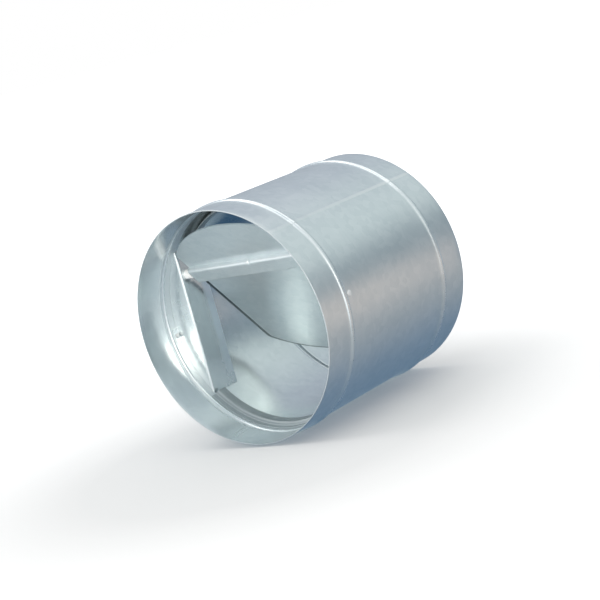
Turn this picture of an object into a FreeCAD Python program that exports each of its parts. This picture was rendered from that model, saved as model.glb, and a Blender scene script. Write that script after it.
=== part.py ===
import FreeCAD, Part
import math
import os

# Duct backdraft damper for a round duct of nominal size 160. Millimetres.
# The origin is the centre of the inlet rim, on the duct's axis.
# +X is along the hinge, +Y is the way the air flows, +Z is up.
# The blade is stored as it stands half open.

Vec = FreeCAD.Vector

# Casing: a rolled tube with a bead near each end and a welded seam
casing_diameter = 159.0
casing_length = 158.0
casing_wall = 0.7
bead_from_end = 25.0
bead_width = 6.0
bead_height = 1.3
seam_angle = 47.0
seam_width = 3.0
seam_rise = 0.2
seam_end_gap = 0.5

# Sheet fittings inside the casing
fitting_sheet = 1.0
fitting_bend = 0.6
wall_gap = 0.1

# Brackets: a plate across the duct, a flange along it and a tab on the wall
bracket_depth = 18.6
tab_from_bead = 0.6
tab_reach = 4.0
tab_width = 10.0
tab_angle = 5.0
tab_relief = 0.6
tab_root = 6.0
hinge_behind_plate = 6.2
flange_behind_hinge = 18.6

# Rivets that hold the bracket tabs to the casing
rivet_shank_diameter = 2.4
rivet_head_diameter = 4.2
rivet_tail_diameter = 3.2
rivet_head_height = 0.8
rivet_hole_clearance = 0.05
rivet_drill_depth = 12.0

# Blade and its hinge
hinge_height = 33.2
blade_sheet = 1.0
blade_rim_gap = 3.2
blade_side_gap = 5.2
blade_corner_radius = 6.0
open_angle = 40.7

# Axle, the channel that covers it and the bushes that it turns in
axle_diameter = 3.0
axle_overhang = 2.5
axle_chamfer = 0.3
axle_seat_gap = 0.1
channel_sheet = 0.8
channel_bend = 1.3
channel_above_axle = 5.2
channel_below_axle = 9.2
channel_end_play = 0.4
bush_collar_diameter = 6.5
bush_neck_diameter = 5.0
bush_lip_diameter = 5.7
bush_lip_length = 0.9
bush_fit = 0.05
axle_running_clearance = 0.05

# Stops: curved strips that the blade closes on
stop_overlap = 0.9
stop_gap = 0.3
stop_foot = 4.0
stop_end_gap = 2.6

# Places that follow from the sizes above
outer_radius = casing_diameter / 2
inner_radius = outer_radius - casing_wall
fitting_radius = inner_radius - wall_gap
plate_y = bead_from_end + bead_width / 2 + tab_from_bead + tab_reach
hinge_y = plate_y + hinge_behind_plate
flange_rear_y = hinge_y + flange_behind_hinge
flange_x = inner_radius - bracket_depth
blade_half_width = flange_x - blade_side_gap
blade_radius = inner_radius - blade_rim_gap
blade_front_y = hinge_y + axle_diameter / 2 + axle_seat_gap
blade_rear_y = blade_front_y + blade_sheet
channel_half_length = blade_half_width
stop_radius = blade_radius - stop_overlap
stop_lip = blade_front_y - stop_gap - plate_y

duct_axis = Vec(0, 1, 0)
hinge_axis = Vec(1, 0, 0)
hinge_point = Vec(0, hinge_y, hinge_height)


def plan(a, b):
    """A point of a section drawn as distance from the axis against distance along the duct."""
    return Vec(a, b, 0)


def side(a, b):
    """A point of a section drawn as distance along the duct against height."""
    return Vec(0, a, b)


def unit(vector):
    """The same direction with a length of one."""
    return vector * (1.0 / vector.Length)


def face_of(edges):
    """A flat face inside a closed run of edges."""
    return Part.Face(Part.Wire(Part.__sortEdges__(edges)))


def rounded_run(corners, radii):
    """Straight runs through the corners, with an arc of the given radius at each inner corner."""
    edges = []
    start = corners[0]
    for before, corner, after, radius in zip(corners, corners[1:], corners[2:], radii):
        way_in = unit(corner - before)
        way_out = unit(after - corner)
        half_turn = way_in.getAngle(way_out) / 2
        reach = radius * math.tan(half_turn)
        inward = unit(way_out - way_in)
        middle = corner + inward * (radius / math.cos(half_turn) - radius)
        arc_start = corner - way_in * reach
        arc_end = corner + way_out * reach
        edges.append(Part.LineSegment(start, arc_start).toShape())
        edges.append(Part.Arc(arc_start, middle, arc_end).toShape())
        start = arc_end
    edges.append(Part.LineSegment(start, corners[-1]).toShape())
    return edges


def offset_corners(path, normal, distance):
    """The path moved sideways by a distance, with its corners mitred."""
    ways = [unit(b - a) for a, b in zip(path, path[1:])]
    sides = [normal.cross(way) for way in ways]
    moved = [path[0] + sides[0] * distance]
    for corner, first, second in zip(path[1:], sides, sides[1:]):
        moved.append(corner + (first + second) * (distance / (1 + first.dot(second))))
    moved.append(path[-1] + sides[-1] * distance)
    return moved


def folded_sheet(path, thickness, bend):
    """The section of a folded sheet along its middle line, with rounded bends of equal inner radius."""
    normal = unit((path[1] - path[0]).cross(path[2] - path[1]))
    turns = []
    for before, corner, after in zip(path, path[1:], path[2:]):
        turns.append((corner - before).cross(after - corner).dot(normal) > 0)
    left_radii = [bend if to_left else bend + thickness for to_left in turns]
    right_radii = [bend + thickness if to_left else bend for to_left in turns]
    left = offset_corners(path, normal, thickness / 2)
    right = offset_corners(path, normal, -thickness / 2)
    edges = rounded_run(left, left_radii) + rounded_run(right, right_radii)
    edges.append(Part.LineSegment(left[0], right[0]).toShape())
    edges.append(Part.LineSegment(left[-1], right[-1]).toShape())
    return face_of(edges)


def turned(face, middle_angle, span):
    """A section swept round the duct's axis. Angles run from +X towards +Z."""
    face = face.copy()
    face.rotate(Vec(0, 0, 0), -duct_axis, middle_angle - span / 2)
    return face.revolve(Vec(0, 0, 0), -duct_axis, span)


def angle_of(length, radius):
    """The angle in degrees that a length takes up round the duct at this radius."""
    return math.degrees(length / radius)


def rod(radius, start_x, end_x):
    """A round bar along the hinge line."""
    base = Vec(start_x, hinge_y, hinge_height)
    return Part.makeCylinder(radius, end_x - start_x, base, hinge_axis)


def opened(shape):
    """A piece of the blade, drawn closed, turned to where it stands."""
    shape.rotate(hinge_point, hinge_axis, open_angle)
    return shape


def bead_edges(radius, middle_y):
    """A bead in the tube's wall: a round crown that runs into the wall by two hollow arcs."""
    half_width = bead_width / 2
    bend_radius = (half_width ** 2 + bead_height ** 2) / (4 * bead_height)
    flank = math.atan(bead_height / half_width)
    hollow_y = half_width - bend_radius * math.sin(flank)
    hollow_rise = bend_radius * (1 - math.cos(flank))
    crown_y = half_width / 2
    crown_rise = bead_height / 2
    points = [
        plan(radius, middle_y - half_width),
        plan(radius + hollow_rise, middle_y - hollow_y),
        plan(radius + crown_rise, middle_y - crown_y),
        plan(radius + bead_height, middle_y),
        plan(radius + crown_rise, middle_y + crown_y),
        plan(radius + hollow_rise, middle_y + hollow_y),
        plan(radius, middle_y + half_width),
    ]
    return [Part.Arc(*points[i:i + 3]).toShape() for i in (0, 2, 4)]


def wall_edges(radius, start_y, end_y):
    """The line of the tube's wall at one radius, with both beads in it."""
    edges = []
    y = start_y
    for middle_y in (bead_from_end, casing_length - bead_from_end):
        foot = middle_y - bead_width / 2
        edges.append(Part.LineSegment(plan(radius, y), plan(radius, foot)).toShape())
        edges += bead_edges(radius, middle_y)
        y = middle_y + bead_width / 2
    edges.append(Part.LineSegment(plan(radius, y), plan(radius, end_y)).toShape())
    return edges


def wall_section(low_radius, high_radius, start_y, end_y):
    """The section of a beaded wall between two radii."""
    edges = wall_edges(low_radius, start_y, end_y) + wall_edges(high_radius, start_y, end_y)
    for y in (start_y, end_y):
        edges.append(Part.LineSegment(plan(low_radius, y), plan(high_radius, y)).toShape())
    return face_of(edges)


def on_tab(shape, angle):
    """A piece drawn on the X axis, moved to a bracket's tab."""
    shape.translate(Vec(0, plate_y - tab_reach / 2, 0))
    shape.rotate(Vec(0, 0, 0), -duct_axis, angle)
    return shape


def tab_angles():
    """Where the right and the left bracket's tab stand round the duct."""
    return (tab_angle, tab_angle + 180)


def rivet_hole(angle):
    """The drill for one rivet, through the casing and a bracket's tab."""
    radius = rivet_shank_diameter / 2 + rivet_hole_clearance
    start = Vec(outer_radius - rivet_drill_depth / 2, 0, 0)
    return on_tab(Part.makeCylinder(radius, rivet_drill_depth, start, Vec(1, 0, 0)), angle)


def make_casing():
    """The tube with its two beads, its raised weld seam and its two rivet holes."""
    tube = wall_section(inner_radius, outer_radius, 0, casing_length).revolve(Vec(0, 0, 0), duct_axis, 360)
    middle_radius = (inner_radius + outer_radius) / 2
    seam_end = casing_length - seam_end_gap
    seam_face = wall_section(middle_radius, outer_radius + seam_rise, seam_end_gap, seam_end)
    casing = tube.fuse(turned(seam_face, seam_angle, angle_of(seam_width, outer_radius)))
    for angle in tab_angles():
        casing = casing.cut(rivet_hole(angle))
    return casing


def make_right_bracket(angle):
    """A plate across the duct, folded to a flange along it, with a tab on the wall at this angle."""
    middle_y = plate_y + fitting_sheet / 2
    flange_middle = flange_x + fitting_sheet / 2
    path = [plan(outer_radius, middle_y), plan(flange_middle, middle_y), plan(flange_middle, flange_rear_y)]
    section = folded_sheet(path, fitting_sheet, fitting_bend)
    section.translate(Vec(0, 0, -outer_radius))
    bracket = section.extrude(Vec(0, 0, casing_diameter))
    bracket = bracket.common(Part.makeCylinder(fitting_radius, casing_length, Vec(0, 0, 0), duct_axis))

    span = angle_of(tab_width, fitting_radius)
    relief_span = span + 2 * angle_of(tab_relief, fitting_radius)
    relief_depth = fitting_sheet + fitting_bend
    relief_low = fitting_radius - relief_depth
    relief = [plan(relief_low, plate_y - fitting_sheet), plan(outer_radius, plate_y - fitting_sheet),
              plan(outer_radius, plate_y + 2 * fitting_sheet), plan(relief_low, plate_y + 2 * fitting_sheet)]
    relief_face = Part.Face(Part.makePolygon(relief + relief[:1]))
    bracket = bracket.cut(turned(relief_face, angle, relief_span))

    tab_middle = fitting_radius - fitting_sheet / 2
    tab_path = [plan(tab_middle, plate_y - tab_reach), plan(tab_middle, middle_y),
                plan(fitting_radius - tab_root, middle_y)]
    tab = turned(folded_sheet(tab_path, fitting_sheet, fitting_bend), angle, span)
    bracket = bracket.fuse(tab).cut(rivet_hole(angle))
    bush_seat = rod(bush_neck_diameter / 2 + bush_fit, flange_x - fitting_sheet, flange_x + 2 * fitting_sheet)
    return bracket.cut(bush_seat).removeSplitter()


def mirrored(shape):
    """The same piece for the other side of the duct."""
    return shape.mirror(Vec(0, 0, 0), Vec(1, 0, 0))


def make_stop(middle_angle, leg_y, way):
    """A curved strip: a foot on the wall, a leg towards the axis and a lip that meets the blade."""
    foot_radius = fitting_radius - fitting_sheet / 2
    lip_radius = stop_radius + fitting_sheet / 2
    middle_y = leg_y + way * fitting_sheet / 2
    path = [plan(foot_radius, leg_y - way * stop_foot), plan(foot_radius, middle_y),
            plan(lip_radius, middle_y), plan(lip_radius, leg_y + way * stop_lip)]
    bracket_angle = math.degrees(math.acos((flange_x + fitting_sheet) / fitting_radius))
    span = 2 * (90 - bracket_angle - angle_of(stop_end_gap, fitting_radius))
    return turned(folded_sheet(path, fitting_sheet, fitting_bend), middle_angle, span)


def make_rivets():
    """Two rivets with a domed head outside the casing and a flat tail inside the tab."""
    tab_face = fitting_radius - fitting_sheet
    tail_radius = rivet_tail_diameter / 2
    tail_x = math.sqrt(tab_face ** 2 - tail_radius ** 2)
    head_radius = rivet_head_diameter / 2
    dome_radius = (head_radius ** 2 + rivet_head_height ** 2) / (2 * rivet_head_height)
    dome = Part.makeSphere(dome_radius, Vec(outer_radius + rivet_head_height - dome_radius, 0, 0))
    head_room = Part.makeCylinder(head_radius, rivet_head_height, Vec(outer_radius, 0, 0), Vec(1, 0, 0))
    shank_length = outer_radius - tail_x
    shank = Part.makeCylinder(rivet_shank_diameter / 2, shank_length, Vec(tail_x, 0, 0), Vec(1, 0, 0))
    tail_low = Vec(tail_x - rivet_head_height, 0, 0)
    tail = Part.makeCylinder(tail_radius, rivet_head_height, tail_low, Vec(1, 0, 0))
    rivet = dome.common(head_room).fuse([shank, tail]).removeSplitter()
    return Part.makeCompound([on_tab(rivet.copy(), angle) for angle in tab_angles()])


def make_right_bush():
    """A bush with a collar that faces the blade, a neck in the bracket's hole and a snap lip behind it."""
    collar_x = channel_half_length + channel_end_play
    neck_end = flange_x + fitting_sheet + bush_fit
    lip_end = neck_end + bush_lip_length
    collar = rod(bush_collar_diameter / 2, collar_x, flange_x)
    neck = rod(bush_neck_diameter / 2, flange_x, neck_end)
    lip = rod(bush_lip_diameter / 2, neck_end, lip_end)
    bore = rod(axle_diameter / 2 + axle_running_clearance, collar_x, lip_end)
    return collar.fuse([neck, lip]).cut(bore).removeSplitter()


def make_blade():
    """A round plate with two straight sides and rounded corners."""
    disc = Part.makeCylinder(blade_radius, blade_sheet, Vec(0, blade_front_y, 0), duct_axis)
    strip_corner = Vec(-blade_half_width, blade_front_y, -blade_radius)
    strip = Part.makeBox(2 * blade_half_width, blade_sheet, 2 * blade_radius, strip_corner)
    blade = disc.common(strip)
    corner_height = math.sqrt(blade_radius ** 2 - blade_half_width ** 2)
    corners = []
    for edge in blade.Edges:
        middle = edge.CenterOfMass
        at_side = abs(abs(middle.x) - blade_half_width) < blade_sheet
        at_corner = abs(abs(middle.z) - corner_height) < blade_sheet
        if at_side and at_corner:
            corners.append(edge)
    return opened(blade.makeFillet(blade_corner_radius, corners))


def make_axle():
    """A plain rod through the channel and both bushes, with chamfered ends."""
    half_length = flange_x + fitting_sheet + axle_overhang
    axle = rod(axle_diameter / 2, -half_length, half_length)
    ends = [edge for edge in axle.Edges if abs(edge.CenterOfMass.x) > flange_x]
    return opened(axle.makeChamfer(axle_chamfer, ends))


def make_channel():
    """A channel on the front of the blade, open towards it, with the axle inside."""
    web_y = hinge_y - axle_diameter / 2 - axle_seat_gap - channel_sheet / 2
    top = hinge_height + channel_above_axle - channel_sheet / 2
    bottom = hinge_height - channel_below_axle + channel_sheet / 2
    path = [side(blade_front_y, top), side(web_y, top), side(web_y, bottom), side(blade_front_y, bottom)]
    section = folded_sheet(path, channel_sheet, channel_bend)
    section.translate(Vec(-channel_half_length, 0, 0))
    return opened(section.extrude(Vec(2 * channel_half_length, 0, 0)))


def main():
    right_angle, left_angle = tab_angles()
    right_bush = make_right_bush()
    nodes = {
        "casing": make_casing(),
        "right_bracket": make_right_bracket(right_angle),
        "left_bracket": mirrored(make_right_bracket(180 - left_angle)),
        "bottom_stop": make_stop(270, plate_y, 1),
        "top_stop": make_stop(90, blade_rear_y + stop_gap + stop_lip, -1),
        "right_bush": right_bush,
        "left_bush": mirrored(right_bush),
        "bracket_rivets": make_rivets(),
        "blade": make_blade(),
        "axle": make_axle(),
        "axle_channel": make_channel(),
    }
    os.makedirs("parts", exist_ok=True)
    for name, shape in nodes.items():
        shape.exportStep("parts/" + name + ".step")
        box = shape.BoundBox
        print(name, "valid" if shape.isValid() else "NOT VALID", len(shape.Solids), "solid(s)",
              "volume %.1f" % shape.Volume,
              "y %.2f to %.2f" % (box.YMin, box.YMax), "z %.2f to %.2f" % (box.ZMin, box.ZMax))


main()
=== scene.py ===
# %% [markdown]
# A duct backdraft damper, dressed for a photograph.
# The real thing is a short galvanised tube that sits between two ducts. Inside it a flat
# round blade hangs on an axle above the middle: the fan's air pushes it open, and it falls
# shut on two curved stops when the air turns back.
# The CAD model is loaded first and never edited. Every piece is then made again as a smooth
# surface with soft edges, worked out with numpy in the same frame, and stands in for its CAD
# node. The frame is metres, the origin is the centre of the inlet rim, +X runs along the axle,
# +Y the way the air flows and +Z up.

import bmesh
import bpy
import numpy as np
from mathutils import Matrix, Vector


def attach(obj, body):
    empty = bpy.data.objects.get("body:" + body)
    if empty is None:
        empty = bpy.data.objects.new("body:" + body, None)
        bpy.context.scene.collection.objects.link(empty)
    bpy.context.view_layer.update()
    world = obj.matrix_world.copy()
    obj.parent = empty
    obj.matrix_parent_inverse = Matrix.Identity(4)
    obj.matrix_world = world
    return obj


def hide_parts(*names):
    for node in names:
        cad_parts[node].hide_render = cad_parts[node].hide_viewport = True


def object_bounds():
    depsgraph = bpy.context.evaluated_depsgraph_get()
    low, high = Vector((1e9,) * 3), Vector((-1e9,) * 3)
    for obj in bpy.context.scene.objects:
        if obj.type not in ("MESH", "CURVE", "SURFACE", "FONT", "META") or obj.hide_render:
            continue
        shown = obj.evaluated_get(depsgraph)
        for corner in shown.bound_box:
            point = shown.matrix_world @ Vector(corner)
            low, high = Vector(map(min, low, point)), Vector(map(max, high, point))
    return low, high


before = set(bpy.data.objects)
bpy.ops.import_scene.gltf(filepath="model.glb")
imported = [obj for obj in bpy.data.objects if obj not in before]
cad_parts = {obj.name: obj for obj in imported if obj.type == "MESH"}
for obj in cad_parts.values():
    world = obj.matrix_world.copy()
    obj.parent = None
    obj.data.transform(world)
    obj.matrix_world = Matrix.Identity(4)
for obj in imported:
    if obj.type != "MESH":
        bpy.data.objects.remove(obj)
cad_low, cad_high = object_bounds()
scene = bpy.context.scene
print("nodes:", sorted(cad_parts))
print("CAD box:", [round(c, 4) for c in cad_low], [round(c, 4) for c in cad_high])

# %% [markdown]
# The camera. Its place came from the two rim ellipses of the photograph: a circle seen from
# one side is an ellipse, and its size, tilt and centre fix where the camera stood and how it
# was rolled. It could be aimed with a constraint, but a matrix worked out from a place, an aim
# and a roll hides nothing, and the lamps can use the same helper.

# %% Camera
SENSOR_WIDTH, LENS = 36.0, 105.91
NEARLY_UP = (0, 0.001, 1)
camera_place = (0.76816, -0.82224, 0.18751)
camera_aim = (0.04268, 0.02526, 0.00770)
camera_roll = np.radians(-15.3964)


def unit(v):
    """The same direction with a length of one."""
    return v / np.linalg.norm(v)


def facing(place, aim, roll=0.0):
    """The matrix of a camera or lamp that looks from a place at an aim along its own -Z. Its X axis is level,
    and then turned by the roll. Up leans a hair, so that a lamp may also hang straight overhead."""
    back = unit(np.subtract(place, aim))
    level = unit(np.cross(NEARLY_UP, back))
    across = level * np.cos(roll) + np.cross(back, level) * np.sin(roll)
    columns = np.column_stack([across, np.cross(back, across), back, place])
    return Matrix(columns.tolist() + [[0, 0, 0, 1]])


camera_data = bpy.data.cameras.new("photo_camera")
camera_data.sensor_width = SENSOR_WIDTH
camera_data.lens = LENS
camera = bpy.data.objects.new("photo_camera", camera_data)
scene.collection.objects.link(camera)
camera.matrix_world = facing(camera_place, camera_aim, camera_roll)
scene.camera = camera
print("camera:", camera_place, "lens", LENS)

# %% [markdown]
# Helpers for surfaces. Each piece is a grid of points: one number runs along a section of the
# sheet and the other along the path that carries the section. numpy works out all the points
# at once, and foreach_set hands them to the mesh in one call, which is far quicker than
# adding them one by one. Points that fall together, as at the tip of a plate, are merged
# afterwards, and the faces are turned outwards.

# %% Mesh helpers
MM = 0.001
MERGE_WITHIN = 1e-7
SHARP_EDGE = np.radians(35)
SOFT_EDGE = 0.16 * MM
SOFT_EDGE_SEGMENTS = 2


def grid_quads(rows, columns, rows_close=False, columns_close=False):
    """Corner numbers of a grid's cells: cell (i, j) joins (i, j), (i+1, j), (i+1, j+1) and (i, j+1)."""
    i = np.arange(rows if rows_close else rows - 1)[:, None]
    j = np.arange(columns if columns_close else columns - 1)[None, :]
    below, beside = (i + 1) % rows, (j + 1) % columns
    corners = [i * columns + j, below * columns + j, below * columns + beside, i * columns + beside]
    return np.stack(corners, -1).reshape(-1, 4)


def sheet_quads(rows, columns):
    """Cells of a sheet's closed section carried along a path, with both ends shut. Point i on one side of
    the sheet faces point columns-1-i on the other, and an end joins such pairs."""
    i = np.arange(columns // 2 - 1)
    across = columns - 1 - i
    end = np.stack([i, i + 1, across - 1, across], -1)
    return np.concatenate([grid_quads(rows, columns, columns_close=True), end, end + (rows - 1) * columns])


def sheet_of(grid):
    """A grid of a sheet's points as the (points, quads) pair that a piece is made from."""
    return grid.reshape(-1, 3), sheet_quads(*grid.shape[:2])


def joined(*parts):
    """Several (points, quads) pairs as one pair."""
    starts = np.cumsum([0] + [len(points) for points, quads in parts])
    points = np.concatenate([points for points, quads in parts])
    quads = np.concatenate([quads + start for (_, quads), start in zip(parts, starts)])
    return points, quads


def add_piece(name, shape, body, nodes, soft_edge=0.0):
    """Makes a mesh from points in millimetres and quads, shades it smooth and puts it on its CAD body."""
    points, quads = shape
    mesh = bpy.data.meshes.new(name)
    mesh.vertices.add(len(points))
    mesh.vertices.foreach_set("co", np.ravel(points * MM))
    mesh.loops.add(quads.size)
    mesh.loops.foreach_set("vertex_index", np.ravel(quads))
    mesh.polygons.add(len(quads))
    mesh.polygons.foreach_set("loop_start", np.arange(0, quads.size, 4))
    mesh.update(calc_edges=True)
    work = bmesh.new()
    work.from_mesh(mesh)
    bmesh.ops.remove_doubles(work, verts=work.verts, dist=MERGE_WITHIN)
    bmesh.ops.recalc_face_normals(work, faces=work.faces)
    work.to_mesh(mesh)
    work.free()
    mesh.polygons.foreach_set("use_smooth", np.ones(len(mesh.polygons), bool))
    piece = bpy.data.objects.new(name, mesh)
    scene.collection.objects.link(piece)
    if soft_edge:
        bevel = piece.modifiers.new("soft_edge", "BEVEL")
        bevel.width = soft_edge
        bevel.segments = SOFT_EDGE_SEGMENTS
        bevel.limit_method = "ANGLE"
        bevel.angle_limit = SHARP_EDGE
        bevel.harden_normals = True
    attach(piece, body)
    if nodes:
        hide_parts(*nodes)
    print(name, "-", len(mesh.polygons), "faces, for", ", ".join(nodes) or "trim")


# %% [markdown]
# Folded sheet. A press brake bends a flat strip over a die, so every fold has the same inner
# radius and the sheet keeps its thickness round the bend. The section is therefore a middle
# line with straight runs and arcs, and the two faces lie half a thickness to either side.
# Extruding an outline and bevelling it would round both faces alike, which folding doesn't.

# %% Sections of folded sheet
BEND_STEPS = 9


def left_of(v):
    """A direction turned a quarter turn to the left."""
    return np.array([-v[1], v[0]])


def folded_line(corners, inner_bend, thickness, shares):
    """The middle line of a folded strip and its left normals: straight runs, sampled at the given shares
    of each run, joined at every inner corner by an arc of radius inner bend plus half the thickness."""
    corners = np.array(corners, float)
    radius = inner_bend + thickness / 2
    points, normals = [], []
    start = corners[0]
    for k in range(1, len(corners)):
        way = unit(corners[k] - corners[k - 1])
        last = k == len(corners) - 1
        end = corners[k]
        if not last:
            onward = unit(corners[k + 1] - corners[k])
            half_turn = np.arccos(np.clip(way @ onward, -1, 1)) / 2
            end = corners[k] - way * radius * np.tan(half_turn)
        share = np.asarray(shares[k - 1], float)[:, None]
        points.append(start + (end - start) * share)
        normals.append(np.repeat(left_of(way)[None], len(share), 0))
        if not last:
            turn = np.sign(left_of(way) @ onward)
            centre = end + turn * radius * left_of(way)
            angle = np.linspace(0, 2 * half_turn, BEND_STEPS)[1:-1, None]
            arm = -turn * (left_of(way) * np.cos(angle) - turn * way * np.sin(angle))
            points.append(centre + radius * arm)
            normals.append(-turn * arm)
            start = corners[k] + onward * radius * np.tan(half_turn)
    return np.concatenate(points), np.concatenate(normals)


def sheet_loop(line, normals, thickness):
    """The closed outline of a sheet's section: along one face and back along the other."""
    return np.concatenate([line + normals * thickness / 2, (line - normals * thickness / 2)[::-1]])


def around_duct(loop, turns):
    """A section of (radius, y) carried round the duct's axis: x = r cos a, y, z = r sin a."""
    radius, y = loop[None, :, 0], loop[None, :, 1]
    a = turns[:, None]
    return np.stack(np.broadcast_arrays(radius * np.cos(a), y, radius * np.sin(a)), -1)


def even(count):
    """Evenly spaced shares of a run, both ends included."""
    return np.linspace(0, 1, count)


def ramp(value, zero_at, one_at):
    """0 before one place, 1 after another, and a straight slope between them."""
    return np.clip((value - zero_at) / (one_at - zero_at), 0, 1)


# %% [markdown]
# Sizes. They are in millimetres and repeat those of the CAD source, because a surface that
# stands in for a solid has to be as large as the solid. These are the ones that several
# pieces share, and each piece's own sizes are in its own cell.

# %% Shared sizes
outer_radius, casing_wall, casing_length = 79.5, 0.7, 158.0
inner_radius = outer_radius - casing_wall
bead_from_end, bead_width, bead_height = 25.0, 6.0, 1.3
bead_start, bead_foot = bead_from_end - bead_width / 2, bead_from_end + bead_width / 2
fitting_sheet, fitting_bend, wall_gap = 1.0, 0.6, 0.1
fitting_radius = inner_radius - wall_gap
plate_y, flange_x, flange_rear_y = 32.6, 60.2, 57.4
hinge_y, hinge_z, axle_radius = 38.8, 33.2, 1.5
blade_front_y, blade_sheet, blade_half_width = 40.4, 1.0, 55.0
print("inside radius:", inner_radius, "fittings reach:", fitting_radius)

# %% [markdown]
# The casing. A strip of galvanised sheet is rolled into a tube, its edges are welded, and two
# beads are rolled in so that a duct slid over the end stops there. The whole wall is one
# section, out along the outside, round the rim and back along the inside, turned about the
# duct's axis. A Screw modifier could turn it too, but then the seam and the waves below
# would have no place.

# %% Casing section
RIM_SOFT, RIM_STEPS = 0.22, 5
BEAD_STEPS, END_STEPS, MIDDLE_STEPS = 25, 6, 24
BESIDE_BEAD = 0.5


def bead_rise(y):
    """Height of the beads: two circular hollows run into a round crown, all three of the same radius."""
    half = bead_width / 2
    bend = (half ** 2 + bead_height ** 2) / (4 * bead_height)
    middle = np.where(y < casing_length / 2, bead_from_end, casing_length - bead_from_end)
    away = np.abs(y - middle)
    crown = bead_height - bend + np.sqrt(np.maximum(bend ** 2 - away ** 2, 0))
    hollow = bend - np.sqrt(np.maximum(bend ** 2 - (half - away) ** 2, 0))
    return np.where(away >= half, 0, np.where(away <= half / 2, crown, hollow))


def wall_stations():
    """Places along the tube: close together at the beads and wide apart on the plain wall."""
    end = np.linspace(RIM_SOFT, bead_start - BESIDE_BEAD, END_STEPS)
    bead = np.linspace(bead_start, bead_foot, BEAD_STEPS)
    beside = bead_foot + BESIDE_BEAD
    middle = np.linspace(beside, casing_length - beside, MIDDLE_STEPS)
    return np.sort(np.concatenate([end, bead, middle, casing_length - bead, casing_length - end]))


def rim_arc(radius, y, first, last):
    """A quarter of a small circle at a rim's corner, between two angles in the (radius, y) plane."""
    a = np.radians(np.linspace(first, last, RIM_STEPS))[1:-1]
    return np.stack([radius + RIM_SOFT * np.cos(a), y + RIM_SOFT * np.sin(a)], -1)


stations = wall_stations()
outside = np.stack([outer_radius + bead_rise(stations), stations], -1)
inside = np.stack([inner_radius + bead_rise(stations), stations], -1)[::-1]
outer_corner, inner_corner = outer_radius - RIM_SOFT, inner_radius + RIM_SOFT
front_corner, rear_corner = RIM_SOFT, casing_length - RIM_SOFT
wall_loop = np.concatenate([
    outside,
    rim_arc(outer_corner, rear_corner, 0, 90), [[outer_corner, casing_length]],
    [[inner_corner, casing_length]], rim_arc(inner_corner, rear_corner, 90, 180),
    inside,
    rim_arc(inner_corner, front_corner, 180, 270), [[inner_corner, 0]],
    [[outer_corner, 0]], rim_arc(outer_corner, front_corner, 270, 360),
])
is_outside = np.arange(len(wall_loop)) < len(stations)
print("casing section:", len(wall_loop), "points")

# %% [markdown]
# The weld seam stands two tenths of a millimetre proud of the outside. A rolled tube is also
# never quite round, so its radius dips by a few hundredths of a millimetre here and there: too
# little to see as shape, enough to make the reflections live. Both are added to the radius, so
# they are in the mesh and not only in the finish.

# %% Casing
ROUND_STEPS, SEAM_EDGE_STEPS = 500, 6
seam_angle, seam_width, seam_rise = np.radians(47.0), 3.0, 0.2
seam_end_gap, seam_run_out = 0.5, 0.8
half_seam = seam_width / 2 / outer_radius
SEAM_TOP, SEAM_FOOT = 0.8, 1.3
WAVE_DEPTH = 0.045


def casing_turns():
    """Even steps round the tube, with extra ones across the weld seam's two edges."""
    steps = np.arange(ROUND_STEPS) * 2 * np.pi / ROUND_STEPS
    seam_edge = np.linspace(SEAM_TOP - 0.05, SEAM_FOOT + 0.2, SEAM_EDGE_STEPS)
    across = np.concatenate([-seam_edge, [0], seam_edge]) * half_seam
    return np.sort(np.concatenate([steps, seam_angle + across]))


def out_of_round(a, y):
    """How far the wall dips inwards, in millimetres: slow waves round the tube that drift along it."""
    return -WAVE_DEPTH * (1 + 0.6 * np.sin(3 * a + 0.7) + 0.4 * np.sin(7 * a + 0.031 * y + 2.1))


turns = casing_turns()
along = wall_loop[:, 1]
seam_share = ramp(np.abs(turns - seam_angle) / half_seam, SEAM_FOOT, SEAM_TOP)
seam_share = seam_share ** 2 * (3 - 2 * seam_share)
from_end = np.minimum(along, casing_length - along)
on_seam = ramp(from_end, seam_end_gap, seam_end_gap + seam_run_out) * is_outside
rise = seam_rise * seam_share[:, None] * on_seam[None, :] + out_of_round(turns[:, None], along[None, :])
casing_grid = around_duct(wall_loop, turns)
casing_grid[..., 0] += rise * np.cos(turns)[:, None]
casing_grid[..., 2] += rise * np.sin(turns)[:, None]
casing_quads = grid_quads(len(turns), len(wall_loop), rows_close=True, columns_close=True)
add_piece("casing_shell", (casing_grid.reshape(-1, 3), casing_quads), "casing", ["casing"])

# %% [markdown]
# The side brackets. Each is a plate across the duct, cut to the tube's curve and folded back
# into a flange that holds the axle's bush. The plate ends where the tube's wall is, so a point
# at x may stand no higher than the tube is there: z = v * sqrt(R^2 - x^2), with v from -1 to 1.
# Cutting a flat mesh with the tube would leave ragged edges, and this formula leaves none.
# A tab folded forward along the wall takes the rivet.

# %% Brackets
PLATE_ROWS, TAB_ROWS = 41, 15
TAB_THINNER = 0.04
tab_angle = np.radians(5.0)
tab_width, tab_front_y, tab_root = 10.0, 28.6, 6.0


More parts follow.
